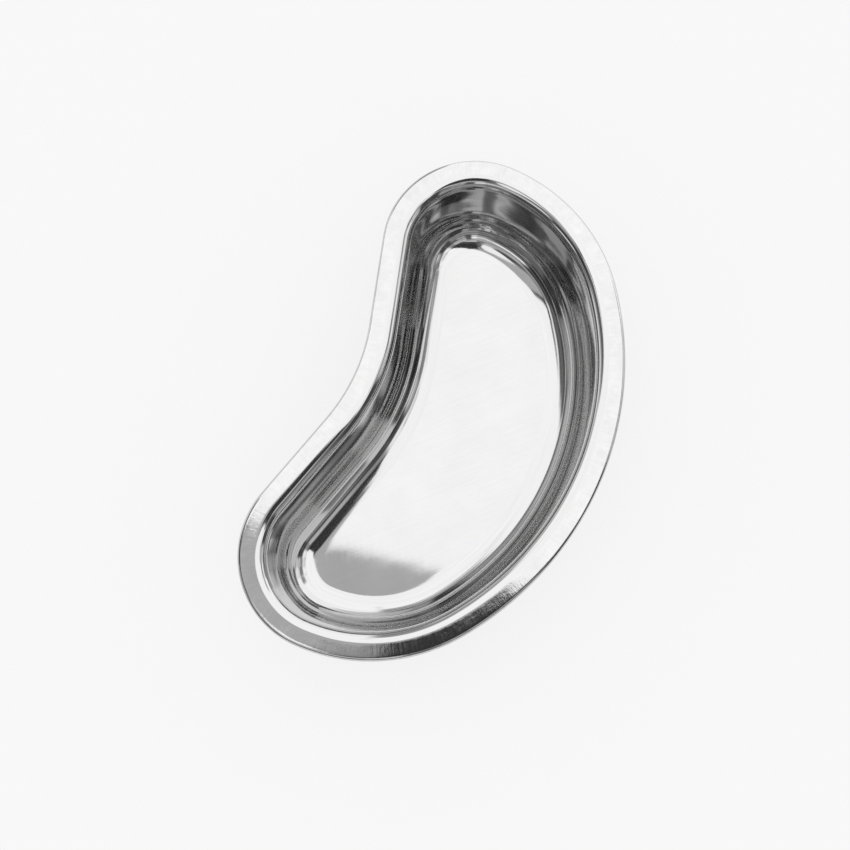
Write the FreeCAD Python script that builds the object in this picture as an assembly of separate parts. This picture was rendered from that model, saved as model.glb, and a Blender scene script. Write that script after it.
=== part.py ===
import FreeCAD, Part
import math
import os

# Kidney dish: a shallow kidney-shaped tray pressed from one stainless steel sheet.
#
# Frame: millimetres, +Z up. The origin is under the middle of the dish's bounding
# box, on the plane the dish stands on. +X runs along the dish's length, +Y points
# to its convex back, and the waist (the concave side) faces -Y. The dish is its
# own mirror image across the YZ plane.

# ---------------------------------------------------------------- driving sizes
SHEET = 0.7              # sheet thickness
HEIGHT = 32.0            # rim top above the standing plane

# Outline of the rim's outer edge, half of it, from the middle of the back to the
# middle of the waist, every piece tangent to the next.
R_BACK = 103.8           # long arc of the convex back
A_BACK = 36.26           # its half angle, degrees
R_QUARTER = 57.8         # arc that leads the back into the end
A_QUARTER = 53.55
R_END = 30.4             # rounded end
R_WAIST = 61.9           # concave arc of the waist
A_WAIST = 15.71          # its half angle, degrees

# Section through the sheet, square to the outline.
LIP_R = 1.3              # outside radius of the turned-down edge
LIP_DEPTH = 2.3          # rim top to the trimmed edge of the lip
FLANGE_W = 5.2           # outer edge to the start of the shoulder
SHOULDER_R = 4.0         # shoulder from flange to wall, on the upper face
DRAFT = 7.5              # wall lean from the vertical, degrees
FLOOR_R = 11.0           # radius between wall and floor, on the upper face

NODE = "dish"

# ---------------------------------------------------------------- outline pieces
A_END = 180.0 + A_WAIST - A_BACK - A_QUARTER

def outline():
    """Half outline as pieces: ('arc', cx, cy, r, start heading, turn) or
    ('line', x, y, heading, length). Clockwise arcs have r > 0."""
    a1, a2, a3, a4 = (math.radians(v) for v in (A_BACK, A_QUARTER, A_END, A_WAIST))
    pieces = []
    x, y, h = 0.0, 0.0, 0.0
    for r, a in ((R_BACK, a1), (R_QUARTER, a2), (R_END, a3)):
        cx, cy = x + r * math.sin(h), y - r * math.cos(h)
        pieces.append(("arc", cx, cy, r, h, a))
        h -= a
        x, y = cx - r * math.sin(h), cy + r * math.cos(h)
    # the straight between end and waist closes the outline on the mirror plane
    run = (x - R_WAIST * math.sin(a4)) / math.cos(a4)
    pieces.append(("line", x, y, h, run))
    x, y = x + run * math.cos(h), y + run * math.sin(h)
    cx, cy = x - R_WAIST * math.sin(h), y + R_WAIST * math.cos(h)
    pieces.append(("arc", cx, cy, -R_WAIST, h, a4))
    return pieces

PIECES = outline()

def extent_y():
    top = 0.0
    _, cx, cy, r, _, _ = PIECES[2]
    return cy - r, top       # lowest point is the bottom of the end arc

y_low, y_high = extent_y()
Y_SHIFT = -0.5 * (y_low + y_high)      # centres the bounding box on the origin

# ---------------------------------------------------------------- section
# Points are (d, z): d is the inset from the outer edge, z the height.
def section_edges():
    """Upper face, lower face and the trimmed edge of the lip, as a list of
    (kind, p0, p1, mid) with mid only on arcs. Also returns the floor inset."""
    t, H = SHEET, HEIGHT
    dr = math.radians(DRAFT)
    s, c = math.sin(dr), math.cos(dr)
    rs, rf, rl = SHOULDER_R, FLOOR_R, LIP_R
    zs = H - rs                         # shoulder centre height
    zf = t + rf                         # floor-radius centre height
    # wall runs from (ds1, zs1) to (df0, zf0) on the upper face
    ds1, zs1 = FLANGE_W + rs * c, zs + rs * s
    zf0 = zf - rf * s
    df0 = ds1 + (zs1 - zf0) * math.tan(dr)
    d_floor = df0 + rf * c              # floor starts here

    def arc(cd, cz, r, a0, a1):
        p = lambda a: (cd + r * math.cos(a), cz + r * math.sin(a))
        return ("arc", p(a0), p(a1), p(0.5 * (a0 + a1)))

    def seg(p0, p1):
        return ("line", p0, p1, None)

    q = math.pi / 2
    up = [
        seg((0.0, H - LIP_DEPTH), (0.0, H - rl)),
        arc(rl, H - rl, rl, 2 * q, q),
        seg((rl, H), (FLANGE_W, H)),
        arc(FLANGE_W, zs, rs, q, dr),
        seg((ds1, zs1), (df0, zf0)),
        arc(d_floor, zf, rf, 2 * q + dr, 3 * q),
    ]
    o = t
    low = [
        arc(d_floor, zf, rf + o, 3 * q, 2 * q + dr),
        seg((d_floor - (rf + o) * c, zf - (rf + o) * s),
            (FLANGE_W + (rs - o) * c, zs + (rs - o) * s)),
        arc(FLANGE_W, zs, rs - o, dr, q),
        seg((FLANGE_W, H - o), (rl, H - o)),
        arc(rl, H - rl, rl - o, q, 2 * q),
        seg((o, H - rl), (o, H - LIP_DEPTH)),
        seg((o, H - LIP_DEPTH), (0.0, H - LIP_DEPTH)),
    ]
    return up + low, d_floor

SECTION, D_FLOOR = section_edges()

# ---------------------------------------------------------------- faces
V = FreeCAD.Vector

def place(px, py, nx, ny, d, z, side):
    """A section point at an outline point, with inward normal (nx, ny)."""
    return V(side * (px + nx * d), py + ny * d + Y_SHIFT, z)

def edge_at(e, px, py, nx, ny, side):
    kind, p0, p1, mid = e
    a = place(px, py, nx, ny, p0[0], p0[1], side)
    b = place(px, py, nx, ny, p1[0], p1[1], side)
    if kind == "line":
        return Part.makeLine(a, b)
    m = place(px, py, nx, ny, mid[0], mid[1], side)
    return Part.Arc(a, m, b).toShape()

def wall_faces():
    faces = []
    for side in (1, -1):
        for pc in PIECES:
            if pc[0] == "line":
                _, x, y, h, length = pc
                nx, ny = math.sin(h), -math.cos(h)
                run = V(side * length * math.cos(h), length * math.sin(h), 0)
                for e in SECTION:
                    faces.append(edge_at(e, x, y, nx, ny, side).extrude(run))
                continue
            _, cx, cy, r, h, a = pc
            px, py = cx - r * math.sin(h), cy + r * math.cos(h)
            nx, ny = math.sin(h), -math.cos(h)
            turn = -math.degrees(a) if r > 0 else math.degrees(a)
            for e in SECTION:
                faces.append(edge_at(e, px, py, nx, ny, side).revolve(
                    V(side * cx, cy + Y_SHIFT, 0), V(0, 0, 1), side * turn))
    return faces

def floor_face(z):
    """Flat kidney-shaped face inside the floor radius."""
    edges = []
    for side in (1, -1):
        for pc in PIECES:
            if pc[0] == "line":
                _, x, y, h, length = pc
                nx, ny = math.sin(h), -math.cos(h)
                a = place(x, y, nx, ny, D_FLOOR, z, side)
                b = place(x + length * math.cos(h), y + length * math.sin(h),
                          nx, ny, D_FLOOR, z, side)
                edges.append(Part.makeLine(a, b))
                continue
            _, cx, cy, r, h, a = pc
            sgn = 1 if r > 0 else -1
            pts = []
            for k in (0.0, 0.5, 1.0):
                hh = h - sgn * a * k
                pts.append(place(cx - r * math.sin(hh), cy + r * math.cos(hh),
                                 math.sin(hh), -math.cos(hh), D_FLOOR, z, side))
            edges.append(Part.Arc(*pts).toShape())
    wire = Part.Wire(Part.__sortEdges__(edges))
    return Part.Face(wire)

faces = wall_faces() + [floor_face(SHEET), floor_face(0.0)]
shell = Part.Shell(faces)
shell.sewShape()
shape = shell if isinstance(shell, Part.Shell) else shell.Shells[0]
if shape.ShapeType != "Shell":
    shape = shape.Shells[0]
dish = Part.Solid(shape)
if dish.Volume < 0:
    dish.reverse()
# halves of the back and waist arcs join into single faces across the mirror plane
dish = dish.removeSplitter()
if dish.ShapeType != "Solid":
    dish = dish.Solids[0]

os.makedirs("parts", exist_ok=True)
dish.exportStep("parts/%s.step" % NODE)

bb = dish.BoundBox
print("valid", dish.isValid(), "closed", dish.isClosed(), "faces", len(dish.Faces))
print("box x %.3f..%.3f y %.3f..%.3f z %.3f..%.3f"
      % (bb.XMin, bb.XMax, bb.YMin, bb.YMax, bb.ZMin, bb.ZMax))
print("volume cm3 %.2f, floor starts at inset %.3f, end turn %.2f deg"
      % (dish.Volume / 1000.0, D_FLOOR, A_END))
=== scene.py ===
import math

import bmesh
import bpy
import numpy as np
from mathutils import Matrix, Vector


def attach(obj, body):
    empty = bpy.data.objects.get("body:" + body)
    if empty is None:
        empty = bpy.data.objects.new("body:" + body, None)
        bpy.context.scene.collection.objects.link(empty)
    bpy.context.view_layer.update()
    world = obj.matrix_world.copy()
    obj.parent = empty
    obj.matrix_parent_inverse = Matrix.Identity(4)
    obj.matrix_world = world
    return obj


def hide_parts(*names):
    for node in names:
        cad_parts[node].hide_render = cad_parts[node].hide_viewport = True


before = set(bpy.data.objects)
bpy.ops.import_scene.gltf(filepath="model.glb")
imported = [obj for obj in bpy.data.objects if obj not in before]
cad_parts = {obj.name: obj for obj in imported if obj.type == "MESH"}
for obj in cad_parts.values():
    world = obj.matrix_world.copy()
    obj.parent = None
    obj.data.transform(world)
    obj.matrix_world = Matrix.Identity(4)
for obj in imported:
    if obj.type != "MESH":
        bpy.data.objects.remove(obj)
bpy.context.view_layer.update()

MM = 0.001

# ------------------------------------------------------------------ the dish
# The same section and outline as the CAD node, in millimetres. The outline is
# four tangent arcs and a straight for each half. The section is the sheet,
# square to the outline: d is the inset from the rim's edge and z the height.
SHEET, HEIGHT = 0.7, 32.0
R_BACK, A_BACK = 103.8, 36.26
R_QUARTER, A_QUARTER = 57.8, 53.55
R_END = 30.4
R_WAIST, A_WAIST = 61.9, 15.71
LIP_R, LIP_DEPTH = 1.3, 2.3
FLANGE_W, SHOULDER_R = 5.2, 4.0
DRAFT, FLOOR_R = 7.5, 11.0
A_END = 180.0 + A_WAIST - A_BACK - A_QUARTER


def half_outline():
    """Pieces of the right half: (kind, data...), from the back to the waist."""
    a = [math.radians(v) for v in (A_BACK, A_QUARTER, A_END, A_WAIST)]
    x = y = h = 0.0
    out = []
    for r, t in ((R_BACK, a[0]), (R_QUARTER, a[1]), (R_END, a[2])):
        cx, cy = x + r * math.sin(h), y - r * math.cos(h)
        out.append(("arc", cx, cy, r, h, -t))
        h -= t
        x, y = cx - r * math.sin(h), cy + r * math.cos(h)
    run = (x - R_WAIST * math.sin(a[3])) / math.cos(a[3])
    out.append(("line", x, y, h, run))
    x, y = x + run * math.cos(h), y + run * math.sin(h)
    cx, cy = x - R_WAIST * math.sin(h), y + R_WAIST * math.cos(h)
    out.append(("arc", cx, cy, -R_WAIST, h, a[3]))
    return out


def sampled_outline():
    """Closed outline: points, inward normals and arc length, clockwise from the
    middle of the back."""
    pieces = half_outline()
    end = pieces[2]
    shift = -0.5 * (end[2] - end[3])
    P, N = [], []
    counts = (62, 62, 78, 34, 22)
    for pc, n in zip(pieces, counts):
        t = np.arange(n) / n
        if pc[0] == "line":
            _, x, y, h, run = pc
            P.append(np.c_[x + t * run * math.cos(h), y + t * run * math.sin(h)])
            N.append(np.tile([math.sin(h), -math.cos(h)], (n, 1)))
        else:
            _, cx, cy, r, h, a = pc
            hh = h + a * t
            P.append(np.c_[cx - r * np.sin(hh), cy + r * np.cos(hh)])
            N.append(np.c_[np.sin(hh), -np.cos(hh)])
    P, N = np.vstack(P), np.vstack(N)
    waist_y = pieces[4][2] - pieces[4][3]
    P = np.vstack([P, [[0.0, waist_y]]])
    N = np.vstack([N, [[0.0, 1.0]]])
    # mirror, leaving out the two points on the mirror plane
    P = np.vstack([P, (P[1:-1] * [-1, 1])[::-1]])
    N = np.vstack([N, (N[1:-1] * [-1, 1])[::-1]])
    P[:, 1] += shift
    step = np.linalg.norm(np.roll(P, -1, 0) - P, axis=1)
    s = np.concatenate([[0.0], np.cumsum(step)])
    return P, N, s


def section():
    """Upper and lower runs of the sheet as (d, z, normal d, normal z, zone).
    Zone 1 is the flange and its lip, 2 the bowl, 3 the underside."""
    dr = math.radians(DRAFT)
    s, c = math.sin(dr), math.cos(dr)
    zs, zf = HEIGHT - SHOULDER_R, SHEET + FLOOR_R
    ds1, zs1 = FLANGE_W + SHOULDER_R * c, zs + SHOULDER_R * s
    zf0 = zf - FLOOR_R * s
    df0 = ds1 + (zs1 - zf0) * math.tan(dr)
    d_floor = df0 + FLOOR_R * c
    q = math.pi / 2

    def arc(cd, cz, r, a0, a1, n, zone, flip=1.0, last=False):
        k = np.arange(n + (1 if last else 0)) / n
        a = a0 + (a1 - a0) * k
        return [(cd + r * math.cos(v), cz + r * math.sin(v),
                 flip * math.cos(v), flip * math.sin(v), zone) for v in a]

    def seg(p0, p1, n, nd, nz, zone):
        k = np.arange(n) / n
        return [(p0[0] + (p1[0] - p0[0]) * v, p0[1] + (p1[1] - p0[1]) * v, nd, nz, zone)
                for v in k]

    up = []
    up += seg((0, HEIGHT - LIP_DEPTH), (0, HEIGHT - LIP_R), 2, -1, 0, 1)
    up += arc(LIP_R, HEIGHT - LIP_R, LIP_R, 2 * q, q, 9, 1)
    up += seg((LIP_R, HEIGHT), (FLANGE_W, HEIGHT), 7, 0, 1, 1)
    up += arc(FLANGE_W, zs, SHOULDER_R, q, dr, 18, 2)
    up += seg((ds1, zs1), (df0, zf0), 27, c, s, 2)
    up += arc(d_floor, zf, FLOOR_R, 2 * q + dr, 3 * q, 26, 2, -1.0, True)
    low = []
    o = SHEET
    low += arc(d_floor, zf, FLOOR_R + o, 3 * q, 2 * q + dr, 17, 3)
    low += seg((d_floor - (FLOOR_R + o) * c, zf - (FLOOR_R + o) * s),
               (FLANGE_W + (SHOULDER_R - o) * c, zs + (SHOULDER_R - o) * s), 12, -c, -s, 3)
    low += arc(FLANGE_W, zs, SHOULDER_R - o, dr, q, 10, 3, -1.0)
    low += seg((FLANGE_W, HEIGHT - o), (LIP_R, HEIGHT - o), 4, 0, -1, 3)
    low += arc(LIP_R, HEIGHT - LIP_R, LIP_R - o, q, 2 * q, 5, 3, -1.0)
    low += seg((o, HEIGHT - LIP_R), (o, HEIGHT - LIP_DEPTH), 2, 1, 0, 3)
    low += [(o, HEIGHT - LIP_DEPTH, 0.7, -0.7, 1)]
    return up, low, d_floor


def spline_weights(f):
    return ((1 - f) ** 3 / 6, (3 * f ** 3 - 6 * f ** 2 + 4) / 6,
            (-3 * f ** 3 + 3 * f ** 2 + 3 * f + 1) / 6, f ** 3 / 6)


def ripple(a, b, na, nb, seed):
    """Smooth random field from -1 to 1 at lattice places a and b, which are flat
    arrays of the same length. It repeats every na lattice steps in a."""
    g = np.random.RandomState(seed).uniform(-1, 1, (na, nb))
    ia, ib = np.floor(a).astype(int), np.floor(b).astype(int)
    wa, wb = spline_weights(a - ia), spline_weights(b - ib)
    out = np.zeros(len(a))
    for i in range(4):
        for j in range(4):
            out += wa[i] * wb[j] * g[(ia + i) % na, np.clip(ib + j, 0, nb - 1)]
    return out * 1.6


def ease(x):
    x = np.clip(x, 0.0, 1.0)
    return x * x * x * (x * (6 * x - 15) + 10)


def pressed_waves(P, s, rows, v, start, stop):
    """How far each point stands off the nominal sheet, in mm. A drawn wall keeps
    shallow waves that run along the rim. They are strongest round the ends, and
    die out on the shoulder and towards the flat floor."""
    n, m = len(P), len(rows)
    total = s[-1]
    U, W = np.meshgrid(s[:-1], v[:m])
    u, w = U.ravel(), W.ravel()

    def field(lu, lv, seed):
        na = int(round(total / lu))
        return ripple(u / total * na, w / lv, na, int(80 / lv) + 5, seed).reshape(m, n)

    wall = ease((W - start) / 5.0) * ease((stop - W) / 4.0)
    ends = 1.0 + WAVE_ENDS * ease((np.abs(P[:, 0]) - 40.0) / 25.0)[None, :]
    h = WAVE_1 * field(46.0, 9.0, 5) + WAVE_2 * field(24.0, 4.2, 11) * ends
    return h * wall * ends


WAVE_ENDS, WAVE_1, WAVE_2 = 1.4, 0.085, 0.03


def build_dish():
    P, N, s = sampled_outline()
    up, low, d_floor = section()
    n = len(P)
    rows = up + low
    ring = np.array([(r[0], r[1]) for r in rows])
    zone = [r[4] for r in rows]
    m = len(rows)
    # length along the section, for the waves and the material's coordinates
    dl = np.linalg.norm(np.diff(ring, axis=0), axis=1)
    v = np.concatenate([[0.0], np.cumsum(dl)])
    lip = [i for i, r in enumerate(up) if r[4] == 2][0]
    h = np.zeros((m, n))
    h[:len(up)] = pressed_waves(P, s, up, v, v[lip] + 2.0, v[len(up) - 1])
    vl = v[m - 1] - v
    k0, k1 = len(up), len(up) + 17 + 12 + 5
    h[k0:k1] = -0.8 * pressed_waves(P, s, low, (v[m - 1] - v[k0:]), 0.0, 200.0)[:k1 - k0] \
        * ease((v[k0:k1] - v[k0]) / 4.0)[:, None] * ease((v[k1] - v[k0:k1]) / 4.0)[:, None]
    V = np.zeros((m, n, 3))
    for i, (d, z, nd, nz, _) in enumerate(rows):
        V[i, :, :2] = P + N * (d + nd * h[i])[:, None]
        V[i, :, 2] = z + nz * h[i]
    # a point's place on the opened-out sheet: round a drum as long as the rim,
    # and along its axis by the length of the section
    drum = s[-1] / (2 * math.pi)
    ang = s[:-1] / drum
    round_ = np.c_[drum * np.cos(ang), drum * np.sin(ang)]
    A = np.zeros((m, n, 3))
    A[:, :, :2] = round_[None]
    A[:, :, 2] = v[:m, None]
    verts, attrs = [V.reshape(-1, 3)], [A.reshape(-1, 3)]
    faces, mats = [], []
    idx = lambda i, j: i * n + (j % n)
    for i in range(m):
        i2 = (i + 1) % m
        if i == len(up) - 1:
            continue                      # the two floor edges aren't joined here
        for j in range(n):
            faces.append((idx(i, j), idx(i, j + 1), idx(i2, j + 1), idx(i2, j)))
            mats.append(zone[i] if i2 else 1)
    # floor: rings that shrink from the floor edge onto a spine line
    base = m * n
    inner = P + N * d_floor
    xs = inner[:, 0]
    half = xs.max()
    reach = half * 0.72
    spine_x = np.clip(xs, -reach, reach)
    px = np.linspace(-reach, reach, 41)
    py = []
    for q in px:
        near = inner[np.argsort(np.abs(xs - q))[:8]]
        py.append(0.5 * (near[:, 1].max() + near[:, 1].min()))
    fit = np.polyfit(px, py, 4)
    spine = np.c_[spine_x, np.polyval(fit, spine_x)]
    for top, rings in ((True, 14), (False, 6)):
        z = SHEET if top else 0.0
        start = (len(up) - 1) if top else len(up)
        prev = [idx(start, j) for j in range(n)]
        for k in range(1, rings + 1):
            w = k / rings
            pts = inner * (1 - w) + spine * w
            ids = list(range(base, base + n))
            base += n
            zz = np.full(n, z)
            if top:
                soft = ease(w * 2.2)
                zz = z + FLOOR_WAVE * soft * (ripple((pts[:, 0] + 80) / 21.0, (pts[:, 1] + 60) / 21.0, 12, 10, 23))
            verts.append(np.c_[pts, zz])
            attrs.append(np.c_[round_, np.full(n, v[len(up) - 1] + k * 2.0)])
            for j in range(n):
                a, b = prev[j], prev[(j + 1) % n]
                c, d = ids[(j + 1) % n], ids[j]
                faces.append((a, b, c, d) if top else (a, d, c, b))
                mats.append(4 if top else 3)
            prev = ids
    return np.vstack(verts) * MM, faces, mats, np.vstack(attrs) * MM


FLOOR_WAVE = 0.02


def make_mesh(name, verts, faces, mats, attrs):
    me = bpy.data.meshes.new(name)
    me.from_pydata([tuple(p) for p in verts], [], faces)
    me.polygons.foreach_set("material_index", [k - 1 for k in mats])
    at = me.attributes.new("sheet", "FLOAT_VECTOR", "POINT")
    at.data.foreach_set("vector", attrs.ravel())
    bm = bmesh.new()
    bm.from_mesh(me)
    bmesh.ops.remove_doubles(bm, verts=bm.verts, dist=2e-6)
    bmesh.ops.dissolve_degenerate(bm, dist=1e-6, edges=bm.edges)
    bmesh.ops.recalc_face_normals(bm, faces=bm.faces)
    bm.to_mesh(me)
    bm.free()
    me.polygons.foreach_set("use_smooth", [True] * len(me.polygons))
    me.validate()
    ob = bpy.data.objects.new(name, me)
    bpy.context.scene.collection.objects.link(ob)
    return ob


dish = make_mesh("dish_shell", *build_dish())


# ------------------------------------------------------------------ steel
class Steel:
    """A polished stainless steel from nodes. Every length below is in metres on
    the sheet itself, so the grain keeps its real size."""

    def __init__(self, name):
        self.mat = bpy.data.materials.new(name)
        self.mat.use_nodes = True
        self.nt = self.mat.node_tree
        self.nt.nodes.clear()
        self.out = self.new("ShaderNodeOutputMaterial")
        self.bsdf = self.new("ShaderNodeBsdfPrincipled")
        self.link(self.bsdf.outputs[0], self.out.inputs[0])
        self.bsdf.inputs["Metallic"].default_value = 1.0
        self.normal = None
        self.sheet = self.new("ShaderNodeAttribute")
        self.sheet.attribute_name = "sheet"
        self.object = self.new("ShaderNodeTexCoord").outputs["Object"]

    def new(self, kind):
        return self.nt.nodes.new(kind)

    def link(self, a, b):
        self.nt.links.new(a, b)

    def noise(self, size, detail=2.0, rough=0.5, space="sheet", turn=0.0, offset=0.0):
        """Noise whose grain is size = (along, across, up) in metres. On the sheet
        the third number is along the section and the first two along the rim."""
        mp = self.new("ShaderNodeMapping")
        mp.vector_type = "TEXTURE" if space == "object" else "POINT"
        if space == "object":
            mp.inputs["Rotation"].default_value = (0, 0, turn)
            mp.inputs["Scale"].default_value = size
        else:
            mp.inputs["Scale"].default_value = tuple(1.0 / v for v in size)
        mp.inputs["Location"].default_value = (offset, offset * 0.7, offset * 1.3)
        self.link(self.object if space == "object" else self.sheet.outputs["Vector"],
                  mp.inputs["Vector"])
        tx = self.new("ShaderNodeTexNoise")
        tx.inputs["Scale"].default_value = 1.0
        tx.inputs["Detail"].default_value = detail
        tx.inputs["Roughness"].default_value = rough
        self.link(mp.outputs["Vector"], tx.inputs["Vector"])
        return tx.outputs["Fac"]

    def span(self, fac, lo, hi, a=0.3, b=0.7):
        mr = self.new("ShaderNodeMapRange")
        for k, v in (("From Min", a), ("From Max", b), ("To Min", lo), ("To Max", hi)):
            mr.inputs[k].default_value = v
        self.link(fac, mr.inputs["Value"])
        return mr.outputs["Result"]

    def math(self, op, a, b):
        m = self.new("ShaderNodeMath")
        m.operation = op
        for k, v in ((0, a), (1, b)):
            if isinstance(v, (int, float)):
                m.inputs[k].default_value = v
            else:
                self.link(v, m.inputs[k])
        return m.outputs[0]

    def bump(self, height, depth, strength=1.0):
        """Adds a bump whose full range is depth metres."""
        b = self.new("ShaderNodeBump")
        b.inputs["Strength"].default_value = strength
        b.inputs["Distance"].default_value = depth
        self.link(height, b.inputs["Height"])
        if self.normal is not None:
            self.link(self.normal, b.inputs["Normal"])
        self.normal = b.outputs["Normal"]

    def grey(self, value):
        rgb = self.new("ShaderNodeCombineColor")
        self.link(value, rgb.inputs[0])
        self.link(self.math("MULTIPLY", value, 1.0), rgb.inputs[1])
        self.link(self.math("MULTIPLY", value, 0.998), rgb.inputs[2])
        self.link(rgb.outputs["Color"], self.bsdf.inputs["Base Color"])

    def rough(self, value):
        self.link(value, self.bsdf.inputs["Roughness"])

    def done(self):
        if self.normal is not None:
            self.link(self.normal, self.bsdf.inputs["Normal"])
        return self.mat


def flange_steel():
    # buffed across the rim: short marks square to the edge, over a cloudy polish
    st = Steel("steel_buffed_flange")
    cloud = st.noise((0.007, 0.007, 0.005), 4.0, 0.6)
    marks = st.noise((0.0009, 0.0009, 0.006), 3.0, 0.6)
    fine = st.noise((0.00035, 0.00035, 0.0025), 2.0, 0.5, offset=3.1)
    st.bump(cloud, 2.8e-5)
    st.bump(marks, 8.0e-6)
    st.bump(fine, 1.8e-6)
    st.rough(st.math("ADD", st.span(marks, 0.04, 0.09), st.span(cloud, -0.012, 0.02)))
    patch = st.noise((0.0035, 0.0035, 0.0025), 3.0, 0.6, offset=6.4)
    tone = st.math("ADD", st.span(cloud, 0.555, 0.595), st.span(patch, -0.018, 0.018))
    st.grey(st.math("ADD", tone, st.span(marks, -0.017, 0.017)))
    return st.done()


def bowl_steel():
    # drawn and polished: fine lines that run along the rim
    st = Steel("steel_polished_bowl")
    lines = st.noise((0.045, 0.045, 0.0011), 3.0, 0.55)
    fine = st.noise((0.03, 0.03, 0.00035), 2.0, 0.6, offset=1.7)
    cloud = st.noise((0.012, 0.012, 0.008), 3.0, 0.5, offset=5.2)
    st.bump(cloud, 1.5e-5)
    st.bump(lines, 6.0e-6)
    st.bump(fine, 1.4e-6)
    st.rough(st.math("ADD", st.span(fine, 0.045, 0.095), st.span(cloud, -0.01, 0.015)))
    st.grey(st.math("ADD", st.span(lines, 0.545, 0.58), st.span(fine, -0.01, 0.01)))
    return st.done()


def floor_steel():
    # the flat floor: wiped marks in a few directions over a soft cloud
    st = Steel("steel_polished_floor")
    cloud = st.noise((0.016, 0.016, 0.016), 3.0, 0.55, "object")
    wipe = st.noise((0.022, 0.0007, 1.0), 3.0, 0.6, "object", 0.5)
    wipe2 = st.noise((0.015, 0.0005, 1.0), 2.0, 0.6, "object", -0.75, 2.0)
    st.bump(cloud, 1.0e-5)
    st.bump(wipe, 1.6e-6)
    st.bump(wipe2, 1.0e-6)
    st.rough(st.math("ADD", st.span(wipe, 0.035, 0.06), st.span(cloud, -0.008, 0.015)))
    st.grey(st.math("ADD", st.span(cloud, 0.555, 0.58), st.span(wipe2, -0.008, 0.008)))
    return st.done()


def outside_steel():
    # satin: close lines along the rim, not polished out
    st = Steel("steel_satin_outside")
    lines = st.noise((0.03, 0.03, 0.0007), 4.0, 0.6, offset=0.4)
    fine = st.noise((0.012, 0.012, 0.00022), 2.0, 0.6, offset=2.2)
    cloud = st.noise((0.014, 0.014, 0.010), 3.0, 0.5, offset=7.2)
    st.bump(cloud, 1.5e-5)
    st.bump(lines, 5.0e-6)
    st.bump(fine, 2.0e-6)
    st.rough(st.math("ADD", st.span(fine, 0.13, 0.24), st.span(cloud, -0.02, 0.03)))
    st.grey(st.math("ADD", st.span(lines, 0.53, 0.57), st.span(fine, -0.015, 0.015)))
    return st.done()


for mat in (flange_steel(), bowl_steel(), outside_steel(), floor_steel()):
    dish.data.materials.append(mat)
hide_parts("dish")
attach(dish, "root")

# ------------------------------------------------------------------ studio
# The studio is laid out in the axes of the view: X to the right, Y away from the
# camera, Z up, from the point of the rim plane that the camera looks at. Lengths
# are in millimetres.
PH = math.radians(246.14)
AX = Vector((math.cos(PH), -math.sin(PH), 0))
AY = Vector((math.sin(PH), math.cos(PH), 0))
TARGET = Vector((6.11, -9.22, HEIGHT)) * MM
ELEV, DIST = math.radians(78.0), 410.2 * MM
GAIN = 1.21          # strength of every light against the numbers below
TOP = 412.0          # height of the overhead panels, just above the camera


def at(x, y, z):
    """A studio point in the row frame."""
    return TARGET + (AX * x + AY * y + Vector((0, 0, z))) * MM


def dome(az, zen, r):
    """A point on a large dome, from its azimuth and its angle from overhead."""
    a, t = math.radians(az), math.radians(zen)
    return (r * math.sin(t) * math.cos(a), r * math.sin(t) * math.sin(a), r * math.cos(t))


def lit_card(name, pts, faces, light):
    """A panel that only reflections see, with its brightness at the vertices."""
    me = bpy.data.meshes.new(name)
    me.from_pydata([tuple(at(*c)) for c in pts], [], faces)
    me.attributes.new("light", "FLOAT", "POINT").data.foreach_set("value", light)
    ob = bpy.data.objects.new(name, me)
    bpy.context.scene.collection.objects.link(ob)
    mat = bpy.data.materials.new(name)
    mat.use_nodes = True
    nt = mat.node_tree
    nt.nodes.clear()
    out = nt.nodes.new("ShaderNodeOutputMaterial")
    em = nt.nodes.new("ShaderNodeEmission")
    vertex = nt.nodes.new("ShaderNodeAttribute")
    vertex.attribute_name = "light"
    nt.links.new(vertex.outputs["Fac"], em.inputs["Strength"])
    nt.links.new(em.outputs[0], out.inputs[0])
    me.materials.append(mat)
    mat.cycles.emission_sampling = "NONE"
    ob.visible_camera = False
    ob.visible_diffuse = False
    ob.visible_shadow = False
    ob.visible_transmission = False
    ob.visible_volume_scatter = False
    return ob


def lit(az, zen):
    """Brightness of the light tent's wall at an azimuth and an angle from
    overhead, in degrees. It's cloth lit unevenly, with folds that run round it."""
    az = (np.asarray(az, float) + 60.0) % 360.0 - 60.0
    out = np.full(az.shape, TENT_GREY)
    for az0, az1, zen0, zen1, strength, soft_az, soft_zen in TENT:
        w = np.ones(az.shape)
        for x, lo, hi, soft in ((az, az0, az1, soft_az), (zen, zen0, zen1, soft_zen)):
            w = w * ease((x - lo) / soft + 0.5) * ease((hi - x) / soft + 0.5)
        out = out * (1 - w) + strength * w
    folds = sum(k * ripple((az + 60.0) / 360.0 * na, zen / step, na, 90, seed)
                for k, na, step, seed in FOLDS)
    return np.clip(out * np.exp(folds * np.where(out > 0.85, FOLD_LIT, 1.0)), 0.03, 1.3)


def tent(r=405.0, zen0=37.0, zen1=100.0):
    """The tent's wall as one curved panel with its brightness at the vertices."""
    na, nz = 240, 160
    pts, faces, light = [], [], []
    az = np.arange(na) * 360.0 / na
    for zen in np.linspace(zen0, zen1, nz):
        pts += [dome(v, zen, r) for v in az]
        light.append(lit(az, np.full(na, zen)))
    for i in range(nz - 1):
        for j in range(na):
            k = (j + 1) % na
            faces.append((i * na + j, i * na + k, (i + 1) * na + k, (i + 1) * na + j))
    return lit_card("tent", pts, faces, GAIN * np.concatenate(light))


TENT_GREY = 0.28
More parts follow.
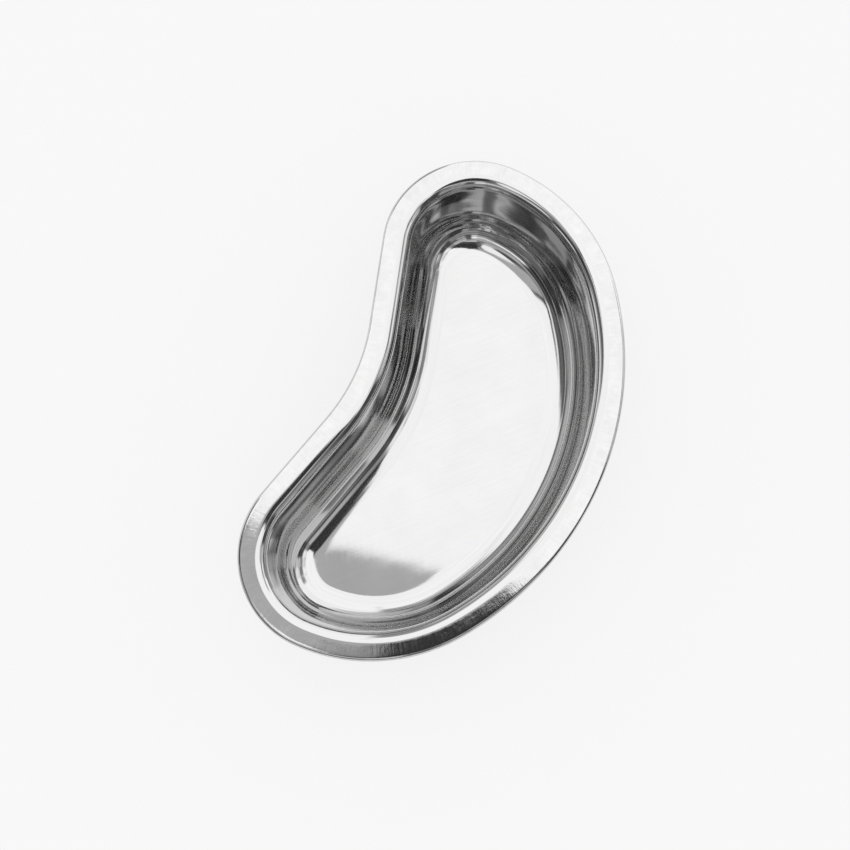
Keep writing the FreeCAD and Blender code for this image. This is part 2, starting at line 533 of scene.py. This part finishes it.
# azimuths, angles from overhead, brightness, softness of the sides and of the ends
TENT = (
    (-23, -7, 20, 50, 1.10, 9, 4), (-23, -7, 54, 89, 0.07, 9, 5),
    (-7, 8, 20, 46, 0.90, 8, 4), (-7, 8, 51, 70, 0.60, 8, 4), (-7, 8, 70, 88, 0.40, 8, 4),
    (8, 23, 20, 46, 1.25, 8, 4), (8, 23, 50, 60, 0.30, 8, 4), (8, 23, 60, 76, 1.00, 8, 4),
    (8, 23, 76, 89, 0.30, 8, 4),
    (23, 97, 20, 71, 1.28, 7, 4), (23, 36, 46, 60, 0.35, 6, 4), (23, 97, 71, 110, 1.25, 7, 4),
    (97, 128, 20, 51, 1.25, 6, 4), (97, 112, 57, 64, 0.42, 6, 5), (97, 112, 64, 110, 0.28, 6, 4),
    (112, 128, 51, 61, 0.46, 6, 4), (112, 128, 61, 75, 0.26, 6, 4), (112, 128, 75, 110, 0.55, 6, 4),
    (128, 150, 20, 67, 1.28, 5, 4), (128, 150, 67, 110, 0.48, 8, 4),
    (150, 172, 20, 44, 1.00, 6, 4), (150, 172, 42, 66, 0.11, 6, 4), (150, 172, 66, 77, 0.38, 8, 4),
    (150, 172, 77, 110, 0.80, 8, 4),
    (172, 205, 42, 61, 0.06, 9, 6), (172, 205, 61, 65, 0.32, 9, 4), (172, 205, 65, 75, 0.75, 9, 5),
    (172, 205, 75, 89, 0.06, 10, 6), (170, 187, 56, 70, 0.05, 7, 5), (170, 187, 71, 90, 0.26, 8, 5),
    (205, 232, 20, 47, 0.36, 9, 5), (205, 232, 47, 54, 0.76, 9, 5), (205, 232, 54, 60, 0.42, 9, 4),
    (205, 232, 60, 88, 0.10, 10, 6),
    (232, 262, 42, 60, 0.56, 8, 4), (262, 278, 44, 61, 0.85, 6, 3), (262, 290, 63, 88, 0.42, 6, 3),
    (276, 292, 42, 62, 0.12, 6, 5),
    (290, 300, 20, 110, 0.45, 7, 4), (-60, -50, 20, 110, 0.45, 7, 4),
    (-50, -37, 20, 50, 0.52, 7, 3), (-50, -37, 52, 59, 0.14, 7, 4), (-50, -37, 59, 88, 0.40, 7, 5),
    (-37, -23, 66, 88, 0.06, 7, 4),
    (-37, -23, 42, 50, 0.30, 7, 3), (-37, -23, 52, 66, 0.09, 7, 4),
    (-70, 320, 88.5, 120, 1.15, 1, 3), (-37, 8, 85, 93, 0.06, 7, 3),
)
# folds: how deep, how many round the tent, degrees apart, seed
FOLDS = ((0.7, 7, 2.6, 41), (0.5, 11, 1.2, 43))
FOLD_LIT = 0.2


def overhead(x, y):
    """Brightness of the overhead plane: the diffuser, whose front edge lies just
    ahead of the camera, then the camera, the arm that holds it and a reflector."""
    a, b = (x.ravel() + 600.0), (y.ravel() + 600.0)
    clutter = 1.2 * ripple(a / 90.0, b / 34.0, 16, 60, 61) + 0.6 * ripple(a / 40.0, b / 14.0, 40, 120, 67)
    out = 0.19 * np.exp(clutter).reshape(x.shape)
    for pts, strength, soft in OVERHEAD:
        inside = np.zeros(x.shape, bool)
        dist = np.full(x.shape, 1e9)
        for (x0, y0), (x1, y1) in zip(pts, pts[1:] + pts[:1]):
            dx, dy = x1 - x0, y1 - y0
            t = np.clip(((x - x0) * dx + (y - y0) * dy) / (dx * dx + dy * dy), 0, 1)
            dist = np.minimum(dist, np.hypot(x - x0 - t * dx, y - y0 - t * dy))
            if y0 != y1:
                inside ^= ((y0 > y) != (y1 > y)) & (x < dx * (y - y0) / dy + x0)
        w = ease(np.where(inside, dist, -dist) / soft + 0.5)
        out = out * (1 - w) + strength * w
    return out


OVERHEAD = (
    # far behind the camera, and to the right of it
    ([(-40, -270), (160, -270), (170, -420), (-60, -420)], 0.85, 40.0),
    ([(230, -215), (420, -215), (420, -420), (200, -420)], 0.60, 40.0),
    # the diffuser, and the wing of it that comes forward on the right
    ([(-275, 600), (-275, 165), (-240, 142), (-255, 62), (-182, 50), (-172, 34), (-120, 32),
      (-107, 22), (-40, 10), (4, 0), (40, -12), (62, -22), (92, -46), (159, -80), (234, -112),
      (320, -100), (320, 140), (262, 240), (140, 600)], 1.29, 7.0),
    # grey reflector beside the camera, and its bright end
    ([(-300, 26), (-172, 34), (-107, 22), (-40, 10), (4, 0), (46, -14), (46, -34), (-27, -38),
      (-27, -66), (-300, -72)], 0.54, 9.0),
    ([(-215, -66), (-92, -54), (-60, -96), (-110, -190), (-185, -190)], 1.22, 14.0),
    ([(-92, -54), (-27, -50), (-27, -100), (-70, -110)], 0.34, 8.0),
    # camera, and the arm that comes in from the right
    ([(-27, -36), (22, -32), (50, -19), (54, -34), (96, -56), (159, -84), (234, -116),
      (290, -130), (290, -215), (120, -190), (-30, -190), (-27, -96)], 0.045, 9.0),
    # black cloth on the far left
    ([(-600, 122), (-285, 112), (-300, 40), (-310, -120), (-600, -150)], 0.12, 34.0),
)


def panel_above():
    n, half = 211, 420.0
    q = np.linspace(-half, half, n)
    X, Y = np.meshgrid(q, q)
    faces = [(i * n + j, i * n + j + 1, (i + 1) * n + j + 1, (i + 1) * n + j)
             for i in range(n - 1) for j in range(n - 1)]
    pts = [(x, y, TOP) for x, y in zip(X.ravel(), Y.ravel())]
    return lit_card("overhead", pts, faces, GAIN * overhead(X, Y).ravel())


panel_above()
tent()

# ------------------------------------------------------------------ world
world = bpy.data.worlds.new("studio")
bpy.context.scene.world = world
world.use_nodes = True
nt = world.node_tree
nt.nodes.clear()
wo = nt.nodes.new("ShaderNodeOutputWorld")
lp = nt.nodes.new("ShaderNodeLightPath")
bg_pale = nt.nodes.new("ShaderNodeBackground")
bg_pale.inputs["Color"].default_value = (1, 1, 1, 1)
bg_pale.inputs["Strength"].default_value = 0.94
bg_gloss = nt.nodes.new("ShaderNodeBackground")
bg_gloss.inputs["Color"].default_value = (1, 1, 1, 1)
bg_gloss.inputs["Strength"].default_value = 0.10
mix = nt.nodes.new("ShaderNodeMixShader")
nt.links.new(lp.outputs["Is Glossy Ray"], mix.inputs[0])
nt.links.new(bg_pale.outputs[0], mix.inputs[1])
nt.links.new(bg_gloss.outputs[0], mix.inputs[2])
nt.links.new(mix.outputs[0], wo.inputs[0])


# ------------------------------------------------------------------ floor
def floor():
    """A pale seamless sweep: mostly its own even light, with a faint contact
    shadow from the diffuse part."""
    me = bpy.data.meshes.new("floor")
    r = 9.0
    me.from_pydata([(-r, -r, 0), (r, -r, 0), (r, r, 0), (-r, r, 0)], [], [(0, 1, 2, 3)])
    ob = bpy.data.objects.new("floor", me)
    bpy.context.scene.collection.objects.link(ob)
    mat = bpy.data.materials.new("floor_pale")
    mat.use_nodes = True
    nt = mat.node_tree
    nt.nodes.clear()
    out = nt.nodes.new("ShaderNodeOutputMaterial")
    add = nt.nodes.new("ShaderNodeAddShader")
    dif = nt.nodes.new("ShaderNodeBsdfDiffuse")
    em = nt.nodes.new("ShaderNodeEmission")
    share = 0.18
    dif.inputs["Color"].default_value = (share, share, share, 1)
    em.inputs["Strength"].default_value = 0.941 - 0.94 * share
    nt.links.new(dif.outputs[0], add.inputs[0])
    nt.links.new(em.outputs[0], add.inputs[1])
    nt.links.new(add.outputs[0], out.inputs[0])
    me.materials.append(mat)
    return ob


floor()

# ------------------------------------------------------------------ camera
cam_data = bpy.data.cameras.new("camera")
cam = bpy.data.objects.new("camera", cam_data)
bpy.context.scene.collection.objects.link(cam)
cam_data.sensor_width = 36.0
cam_data.lens = 36.0 * 1300.0 / 850.0
cam_data.clip_start, cam_data.clip_end = 0.01, 60.0
back = -AY * math.cos(ELEV) + Vector((0, 0, 1)) * math.sin(ELEV)
cam.location = TARGET + back * DIST
cam.rotation_mode = "QUATERNION"
cam.rotation_quaternion = (-back).to_track_quat("-Z", "Y")
bpy.context.scene.camera = cam
bpy.context.scene.view_settings.view_transform = "Standard"
bpy.context.scene.view_settings.look = "None"
# light is trapped between the wall and the floor radius, and takes many turns to leave
bpy.context.scene.cycles.glossy_bounces = 12
